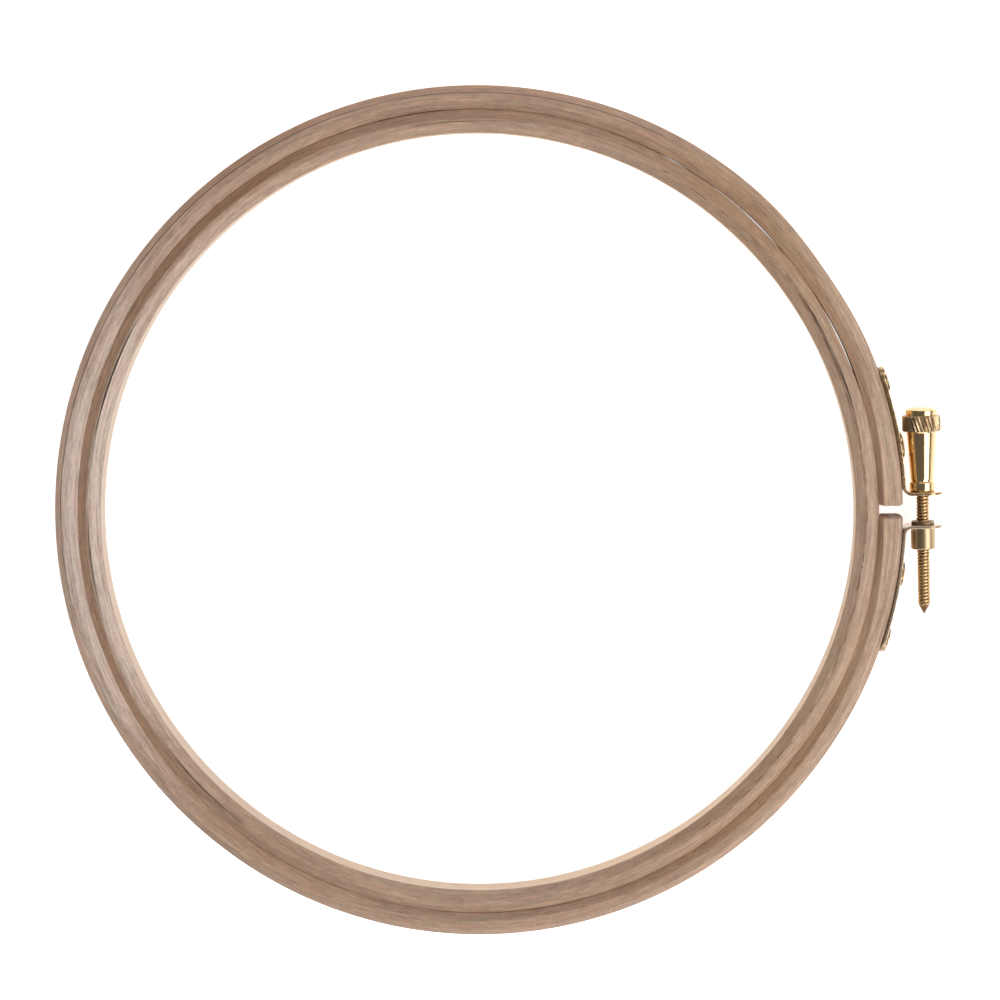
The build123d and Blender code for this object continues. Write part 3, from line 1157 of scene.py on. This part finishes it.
@dataclass(frozen=True)
class Rivet:
    """Rivet with a low domed head on the strap and a clinched tail in the wood's recess."""

    side: Side
    place: str
    reach: float
    ring_outside: float = 107.0
    tail_seat: float = 101.55
    tail_end: float = 102.02
    tail_radius: float = 2.0
    shank_radius: float = 1.25
    seat: float = 107.88
    head_radius: float = 3.2
    head_edge: float = 0.28
    head_height: float = 0.92
    crease: float = 42.0

    def angle(self) -> float:
        """Angle of the rivet round the hoop, in radians."""
        return self.side.value * self.reach / self.ring_outside

    def rim(self, points: np.ndarray) -> np.ndarray:
        """How near each point is to the head's rim, where the brass is dark, from 0 to 1."""
        spoke = np.array([math.cos(self.angle()), math.sin(self.angle()), 0.0])
        along = points @ spoke
        off_axis = np.linalg.norm(points - along[:, None] * spoke, axis=1)
        return smooth_step(off_axis, 0.72 * self.head_radius, 0.93 * self.head_radius)

    def build(self, slot: str, material: bpy.types.Material) -> None:
        """Turns the rivet about its own spoke and dresses it.

        The head's outline is r = R sin t and h = edge + rise cos^0.8 t, so it is fuller than a ball's
        slice near its rim.

        Args:
            slot: The record's name for the rivets' brass; not used.
            material: The rivets' material.
        """
        t = np.linspace(np.pi / 2, 0.0, 18)
        rise = self.head_height - self.head_edge
        dome = np.stack([
            self.head_radius * np.sin(t),
            self.seat + self.head_edge + rise * np.cos(t) ** 0.8,
        ], axis=-1)
        shank = np.array([
            (0.0, self.tail_seat),
            (self.tail_radius, self.tail_seat + 0.02),
            (self.tail_radius, self.tail_end),
            (self.shank_radius, self.tail_end),
            (self.shank_radius, self.seat),
            (self.head_radius - 0.06, self.seat),
            (self.head_radius, self.seat + 0.08),
        ])
        cuts = np.array([0.0, 0.1, 0.06, 0.03, 0.03, 0.01, 0.02])
        stem = soften(shank, cuts + 1e-4, 3, closed=False)
        profile = np.concatenate([stem, dome])
        profile[-1, 0] = 0.0
        profile[0, 0] = 0.0
        shell = about_spoke(turned(profile, 64), self.angle())
        node = f"{self.side.word}_rivet_{self.place}"
        piece = make_object(f"{node}_domed", shell, self.crease)
        store_value(piece, "edge_wear_and_shade", self.rim(mesh_points(piece)))
        dress(piece, material, self.side.body, node)


@dataclass(frozen=True)
class Screw:
    """The clamp's screw: threaded rod, thumb knob with its slanting knurl, and the threaded bush."""

    axis_x: float = 112.3
    crest: float = 1.65
    root: float = 1.38
    pitch: float = 0.84
    tip: float = -26.6
    point_length: float = 2.9
    thread_top: float = 5.6
    rod_top: float = 19.5
    foot: float = 4.6
    band_foot: float = 19.65
    band_top: float = 23.65
    band_radius: float = 4.75
    band_bevel: float = 0.24
    groove_depth: float = 0.26
    groove_width: float = 0.78
    teeth: int = 32
    slant: float = 18.0
    lean: float = 0.75
    lean_pivot: float = -7.0
    rod_crease: float = 60.0
    knob_crease: float = 30.0
    bush_crease: float = 35.0

    def placed(self, shell: Shell) -> Shell:
        """The surface on the screw's axis, which leans about the bush's middle in the ear's hole."""
        lean = math.radians(self.lean)
        x, y, z = shell.points.T
        above = y - self.lean_pivot
        points = np.stack([
            self.axis_x + x * math.cos(lean) - above * math.sin(lean),
            self.lean_pivot + x * math.sin(lean) + above * math.cos(lean),
            z,
        ], axis=-1)
        return Shell(points, shell.quads, shell.others)

    def rod(self) -> Shell:
        """Right-hand thread on a rod with a pointed end.

        At height h and angle a the radius is root + (crest - root) * ridge(phase), with the phase
        (h / pitch - a / one turn), and ridge 1 - (0.5 + 0.5 cos(2 pi phase))^2.4. Near the tip the
        smaller radius of a cone takes its place, and a plain stem goes on into the knob.

        Returns:
            The closed surface about the Y axis.
        """
        steps = 56
        angle = np.linspace(0.0, 2.0 * np.pi, steps, endpoint=False)
        rows = int((self.thread_top - self.tip) / self.pitch * 14)
        height = np.linspace(self.tip + 0.03, self.thread_top, rows)[:, None]
        phase = height / self.pitch - angle / (2.0 * np.pi)
        ridge = 1.0 - (0.5 + 0.5 * np.cos(2.0 * np.pi * phase)) ** 2.4
        threaded = self.root + (self.crest - self.root) * ridge
        cone = (height - self.tip) / self.point_length * self.crest
        radius = np.minimum(threaded, cone)
        points = np.stack([
            radius * np.sin(angle), np.broadcast_to(height, radius.shape), radius * np.cos(angle),
        ], axis=-1)
        stem = np.array([self.thread_top + 0.02, self.rod_top])
        plain = np.stack([
            np.broadcast_to(self.root * np.sin(angle), (2, steps)),
            np.broadcast_to(stem[:, None], (2, steps)),
            np.broadcast_to(self.root * np.cos(angle), (2, steps)),
        ], axis=-1)
        points = np.concatenate([points, plain]).reshape(-1, 3)
        rows += len(stem)
        return Shell(points, grid_quads(rows, steps, False, True), end_caps(rows, steps))

    def knob_body(self) -> Shell:
        """Foot flange, neck groove, taper, collar and low dome, turned from one outline."""
        foot_top = self.foot + 2.3
        outline = np.array([
            (1.70, self.foot),
            (2.85, self.foot),
            (3.15, self.foot + 0.3),
            (3.15, foot_top),
            (2.72, foot_top + 0.18),
            (2.86, foot_top + 0.75),
            (3.30, foot_top + 6.8),
            (3.72, self.band_foot - 0.25),
            (3.90, self.band_foot + 0.2),
            (3.90, self.band_top - 0.2),
            (3.95, self.band_top + 0.1),
            (3.95, self.band_top + 1.42),
            (2.45, self.band_top + 2.08),
            (0.0, self.band_top + 2.25),
        ])
        inside = np.array([(0.0, self.foot + 15.0), (1.66, self.foot + 15.0)])
        cuts = np.array([0.05, 0.08, 0.12, 0.12, 0.08, 0.12, 1.4, 0.1, 0.05, 0.05, 0.04, 0.2, 0.6, 0.1])
        profile = np.concatenate([inside, soften(outline, cuts, 6, closed=False)])
        return turned(profile, 112)

    def knurled_band(self) -> Shell:
        """Band of the knob with slanting V grooves.

        At height h the grooves have turned by -tan(slant) (h - middle) / R, so they run from upper
        left to lower right when seen from above. Across one tooth the depth is a V with a narrow
        flat land, and both rims are bevelled.

        Returns:
            The closed surface about the Y axis.
        """
        tooth = 2.0 * np.pi * self.band_radius / self.teeth
        land = (tooth - self.groove_width) / tooth
        in_groove = land + (1 - land) * np.array([0.17, 0.33, 0.45, 0.55, 0.67, 0.83])
        across = np.concatenate([[0.0, land * 0.5, land], in_groove])
        depth = self.groove_depth * np.array([0.0, 0.0, 0.0, 0.34, 0.66, 0.92, 0.92, 0.66, 0.34])
        turn = ((np.arange(self.teeth)[:, None] + across) / self.teeth).ravel() * 2.0 * np.pi
        depth = np.tile(depth, self.teeth)
        wobble = 1.0 + 0.12 * np.sin(turn * 7.0) + 0.08 * np.sin(turn * 13.0 + 1.0)
        foot, top, bevel = self.band_foot, self.band_top, self.band_bevel
        height = np.concatenate([
            [foot + 0.06, foot], foot + bevel * np.array([0.5, 1.0]),
            np.linspace(foot + bevel + 0.25, top - bevel - 0.25, 10),
            top - bevel * np.array([1.0, 0.5]), [top, top - 0.06],
        ])
        limit = np.full(len(height), self.band_radius)
        limit[[0, -1]] = 3.7
        limit[[1, -2]] = self.band_radius - bevel * 1.05
        limit[[2, -3]] = self.band_radius - bevel * 0.55
        middle = (foot + top) / 2
        twist = -math.tan(math.radians(self.slant)) * (height - middle) / self.band_radius
        angle = turn + twist[:, None]
        radius = np.minimum(self.band_radius - depth * wobble, limit[:, None])
        level = np.broadcast_to(height[:, None], radius.shape)
        points = np.stack([radius * np.sin(angle), level, radius * np.cos(angle)], axis=-1)
        return Shell(points.reshape(-1, 3), grid_quads(len(height), len(turn), True, True))

    def bush(self) -> Shell:
        """Threaded bush: rim on the gap side of the ear, neck in its hole and body beyond it."""
        outline = np.array([
            (1.84, -2.88), (2.88, -2.88), (2.9, -3.72), (2.3, -3.73), (2.3, -4.57),
            (3.05, -4.57), (3.05, -9.7), (2.78, -9.97), (2.04, -9.97), (1.84, -9.77),
        ])
        cuts = np.array([0.05, 0.16, 0.12, 0.04, 0.04, 0.08, 0.1, 0.1, 0.05, 0.05])
        return turned(soften(outline, cuts, 5), 96)

    def build(self, slot: str, polished: bpy.types.Material, satin: bpy.types.Material,
              cut: bpy.types.Material) -> None:
        """Makes and dresses the rod, the knob and the bush.

        Args:
            slot: The record's name for turned brass; not used.
            polished: Its polished finish, for the knob.
            satin: The same brass as the turning tool left it, for the bush.
            cut: The same brass as the die left it, for the thread, with painted shade in its roots.
        """
        rod_shell = self.rod()
        rod = make_object("threaded_rod", self.placed(rod_shell), self.rod_crease)
        radius = np.hypot(rod_shell.points[:, 0], rod_shell.points[:, 2])
        # Painted shade in the thread's roots: they get the cut brass's dull colour.
        store_value(rod, "edge_wear_and_shade", 1.0 - smooth_step(radius, self.root, self.crest))
        dress(rod, cut, "screw", "screw_shank")

        body, band = self.knob_body(), self.knurled_band()
        knob = make_object("thumb_knob", self.placed(joined([body, band])), self.knob_crease)
        store_value(knob, "edge_wear_and_shade", np.repeat([0.0, 1.0], [len(body.points), len(band.points)]))
        dress(knob, polished, "screw", "knob")

        bush_shell = self.bush()
        bush = make_object("turned_bush", self.placed(bush_shell), self.bush_crease)
        on_rim = smooth_step(bush_shell.points[:, 1], -4.6, -4.4)
        store_value(bush, "edge_wear_and_shade", on_rim)
        dress(bush, satin, "lower_clamp", "threaded_bush")


def stand(name: str, data: bpy.types.ID, axes: tuple[Vector, Vector, Vector],
          place: Vector) -> bpy.types.Object:
    """Puts a light or a camera into the scene.

    Args:
        name: The object's name.
        data: The light or the camera.
        axes: Where its own X, Y and Z point.
        place: Where it stands, in metres.

    Returns:
        The object.
    """
    holder = bpy.data.objects.new(name, data)
    bpy.context.scene.collection.objects.link(holder)
    columns = [(*axis, 0.0) for axis in axes] + [(*place, 1.0)]
    holder.matrix_world = Matrix(columns).transposed()
    return holder


@dataclass(frozen=True)
class Studio:
    """Plain pale floor, soft light and the camera at the photograph's angle.

    Zeniths are angles from straight above. Sizes and distances of the floor and the lights are in
    metres, and the floor's height and the camera's places in millimetres.
    """

    floor_z: float = -5.0
    floor_size: float = 6.0
    floor_white: float = 0.93
    floor_glow: float = 0.8
    glow_colour: tuple[float, float, float] = (1.0, 0.965, 0.94)
    room_radiance: float = 0.17
    backdrop_top: tuple[float, float] = (0.24, 0.30)
    light_distance: float = 1.2
    key_azimuth: float = -20.0
    key_zenith: float = 43.0
    key_size: tuple[float, float] = (1.6, 0.8)
    key_radiance: float = 3.5
    side_zenith: float = 52.0
    side_size: tuple[float, float] = (1.0, 0.5)
    side_radiance: float = 3.1
    table_size: tuple[float, float] = (1.2, 1.2)
    table_radiance: float = 1.1
    camera_foot: tuple[float, float] = (38.0, 80.0)
    camera_height: float = 660.0
    camera_aim: tuple[float, float] = (6.337, 3.862)
    camera_roll: float = -1.15
    camera_lens: float = 94.991

    def floor(self) -> None:
        """Pale floor under the hoop.

        Seen directly or in the brass it is lifted to white, and keeps the hoop's shadow. It is a light
        table's top: clear from below, and open to the light of the lamp under it.
        """
        half = self.floor_size / 2
        z = self.floor_z * MM
        corners = [(-half, -half, z), (half, -half, z), (half, half, z), (-half, half, z)]
        mesh = bpy.data.meshes.new("floor")
        mesh.from_pydata(corners, [], [(0, 1, 2, 3)])
        floor = bpy.data.objects.new("floor", mesh)
        bpy.context.scene.collection.objects.link(floor)
        material = bpy.data.materials.new("pale floor")
        material.use_nodes = True
        graph = Graph(material.node_tree)
        material.node_tree.nodes.clear()
        output = graph.add("ShaderNodeOutputMaterial")
        diffuse = graph.add("ShaderNodeBsdfDiffuse")
        diffuse.inputs["Color"].default_value = (*[self.floor_white] * 3, 1.0)
        glow = graph.add("ShaderNodeEmission")
        glow.inputs["Color"].default_value = (*self.glow_colour, 1.0)
        graph.feed(glow.inputs["Strength"], graph.product(graph.shown(), self.floor_glow))
        lit = graph.add("ShaderNodeAddShader")
        graph.feed(lit.inputs[0], diffuse.outputs[0])
        graph.feed(lit.inputs[1], glow.outputs[0])
        see_through = graph.add("ShaderNodeBsdfTransparent")
        behind = graph.add("ShaderNodeNewGeometry")
        choice = graph.add("ShaderNodeMixShader")
        rays = graph.add("ShaderNodeLightPath").outputs
        open_to_light = graph.math("MAXIMUM", behind.outputs["Backfacing"], rays["Is Shadow Ray"])
        graph.feed(choice.inputs[0], open_to_light)
        graph.feed(choice.inputs[1], lit.outputs[0])
        graph.feed(choice.inputs[2], see_through.outputs[0])
        graph.feed(output.inputs["Surface"], choice.outputs[0])
        mesh.materials.append(material)

    def world(self) -> None:
        """White backdrop all round, low down, and a dim room above it; the brass shows both.

        The backdrop reaches up to where the sine of the angle above the floor is backdrop_top.
        """
        world = bpy.data.worlds.new("studio")
        bpy.context.scene.world = world
        world.use_nodes = True
        graph = Graph(world.node_tree)
        background = world.node_tree.nodes["Background"]
        background.inputs["Color"].default_value = (1.0, 1.0, 1.0, 1.0)
        direction = graph.add("ShaderNodeTexCoord").outputs["Generated"]
        upward = graph.split(direction)[2]
        low, high = self.backdrop_top
        backdrop = graph.product(graph.shown(), graph.spread(upward, low, high, 1.0, 0.0))
        graph.feed(background.inputs["Strength"], graph.math("MAXIMUM", self.room_radiance, backdrop))

    def softbox(self, name: str, azimuth: float, zenith: float, size: tuple[float, float],
                radiance: float) -> None:
        """Rectangular light that faces the hoop.

        Its power is radiance x pi x area, so that its face is as bright as the radiance says.

        Args:
            name: The light's name.
            azimuth: Direction round the hoop, in degrees from +X.
            zenith: Angle from straight above, in degrees.
            size: Its breadth round the hoop and its height, in metres.
            radiance: Brightness of its face.
        """
        light = bpy.data.lights.new(name, "AREA")
        light.shape = "RECTANGLE"
        light.size, light.size_y = size
        light.energy = radiance * math.pi * size[0] * size[1]
        turn = math.radians(azimuth)
        tilt = math.radians(zenith)
        level = math.sin(tilt)
        away = Vector((level * math.cos(turn), level * math.sin(turn), math.cos(tilt)))
        sideways = Vector((-math.sin(turn), math.cos(turn), 0.0))
        stand(name, light, (sideways, away.cross(sideways), away), away * self.light_distance)

    def camera(self) -> None:
        """Camera at the photograph's angle, aimed so that the outer ring lands where it does there."""
        eye = Vector((*self.camera_foot, self.camera_height)) * MM
        aim = Vector((*self.camera_aim, 0.0)) * MM
        forward = (aim - eye).normalized()
        right = forward.cross(Vector((0.0, 1.0, 0.0))).normalized()
        up = right.cross(forward)
        roll = math.radians(self.camera_roll)
        rolled_right = right * math.cos(roll) + up * math.sin(roll)
        rolled_up = up * math.cos(roll) - right * math.sin(roll)
        data = bpy.data.cameras.new("camera")
        data.lens = self.camera_lens
        data.sensor_width = 36.0
        data.clip_start = 0.01
        bpy.context.scene.camera = stand("camera", data, (rolled_right, rolled_up, -forward), eye)

    def build(self) -> None:
        """Sets up the floor, the world, the softboxes and the camera."""
        self.camera()
        self.floor()
        self.world()
        self.softbox("key", self.key_azimuth, self.key_zenith, self.key_size, self.key_radiance)
        for name, azimuth in (("back side", 90.0), ("front side", 270.0)):
            self.softbox(name, azimuth, self.side_zenith, self.side_size, self.side_radiance)
        self.softbox("table", 0.0, 180.0, self.table_size, self.table_radiance)
        bpy.context.scene.view_settings.view_transform = "Standard"
        LOG.info("studio ready")


def beech_finishes() -> tuple[BeechFinish, BeechFinish]:
    """Finishes of the inner and of the outer ring."""
    inner = BeechFinish(
        name="beech of the inner ring", slot="beech_inner", seed=2.0,
        brown=(0.345, 0.215, 0.137), pale=(0.43, 0.325, 0.26),
        outer_bevel_painted_shade=(0.317, 0.178, 0.104), outer_bevel_painted_light=(0.427, 0.263, 0.168),
        outer_arris=98.6, inner_arris=97.4, inner_bevel_painted_light=0.14, dashes=1.0,
    )
    outer = BeechFinish(
        name="beech of the outer ring", slot="beech_outer", seed=40.0,
        brown=(0.35, 0.217, 0.138), pale=(0.44, 0.335, 0.275),
        outer_bevel_painted_shade=(0.385, 0.213, 0.12), outer_bevel_painted_light=(0.586, 0.376, 0.26),
        outer_arris=105.15, inner_arris=103.15, inner_bevel_painted_light=0.33, line=0.9,
    )
    return inner, outer


def brass_finishes() -> dict[str, BrassFinish]:
    """Finishes of the brass, by how it was made; greyer sheet is the lower strap's."""
    sheet = BrassFinish(
        name="rolled sheet brass", slot="sheet_brass", bright=(0.72, 0.53, 0.31),
        dull=(0.17, 0.115, 0.06), dullness=0.22, smooth=0.2, drag=(60.0, 60.0, 2500.0),
        edge_wear_and_shade_dullness=0.62,
    )
    turned_brass = BrassFinish(
        name="turned brass", slot="turned_brass", bright=(0.67, 0.48, 0.265),
        dull=(0.33, 0.235, 0.14), dullness=0.12, smooth=0.11, drag=(300.0, 9000.0, 300.0),
        edge_wear_and_shade_dullness=0.75,
    )
    return {
        "sheet": sheet,
        "greyer sheet": replace(
            sheet, name="greyer sheet brass", bright=(0.62, 0.49, 0.36), dull=(0.3, 0.225, 0.165),
        ),
        "headed": BrassFinish(
            name="headed rivet brass", slot="rivet_brass", bright=(0.86, 0.66, 0.4),
            dull=(0.2, 0.13, 0.065), dullness=0.18, smooth=0.16, drag=(700.0, 700.0, 700.0),
            edge_wear_and_shade_dullness=0.72,
        ),
        "turned": turned_brass,
        "satin": replace(
            turned_brass, name="satin turned brass", bright=(0.41, 0.3, 0.185),
            dull=(0.2, 0.135, 0.075), smooth=0.31, relief=0.00002,
        ),
        "cut": replace(
            turned_brass, name="cut brass", bright=(0.5, 0.335, 0.17), dull=(0.15, 0.085, 0.04),
            dullness=0.1, smooth=0.18, edge_wear_and_shade_dullness=0.72,
        ),
    }


def main() -> None:
    """Builds the studio and every piece of the hoop, in order."""
    logging.basicConfig(level=logging.INFO, format="%(name)s: %(message)s")
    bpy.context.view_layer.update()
    Studio().build()
    reaches = {"near": 16.15, "far": 33.15}
    rivets = [Rivet(side, place, reach) for side in Side for place, reach in reaches.items()]
    beech = beech_group(grain_group())
    Rings().build(beech_finishes(), beech, [rivet.angle() for rivet in rivets])

    finishes = brass_finishes()
    brass = brass_group()
    materials = {name: finish.material(brass) for name, finish in finishes.items()}
    Bracket(Side.UPPER).build(finishes["sheet"].slot, materials["sheet"])
    lower_bracket = Bracket(Side.LOWER, hole_radius=2.35)
    lower_bracket.build(finishes["greyer sheet"].slot, materials["greyer sheet"])
    for rivet in rivets:
        rivet.build(finishes["headed"].slot, materials["headed"])
    Screw().build(finishes["turned"].slot, materials["turned"], materials["satin"], materials["cut"])


if __name__ == "__main__":
    main()
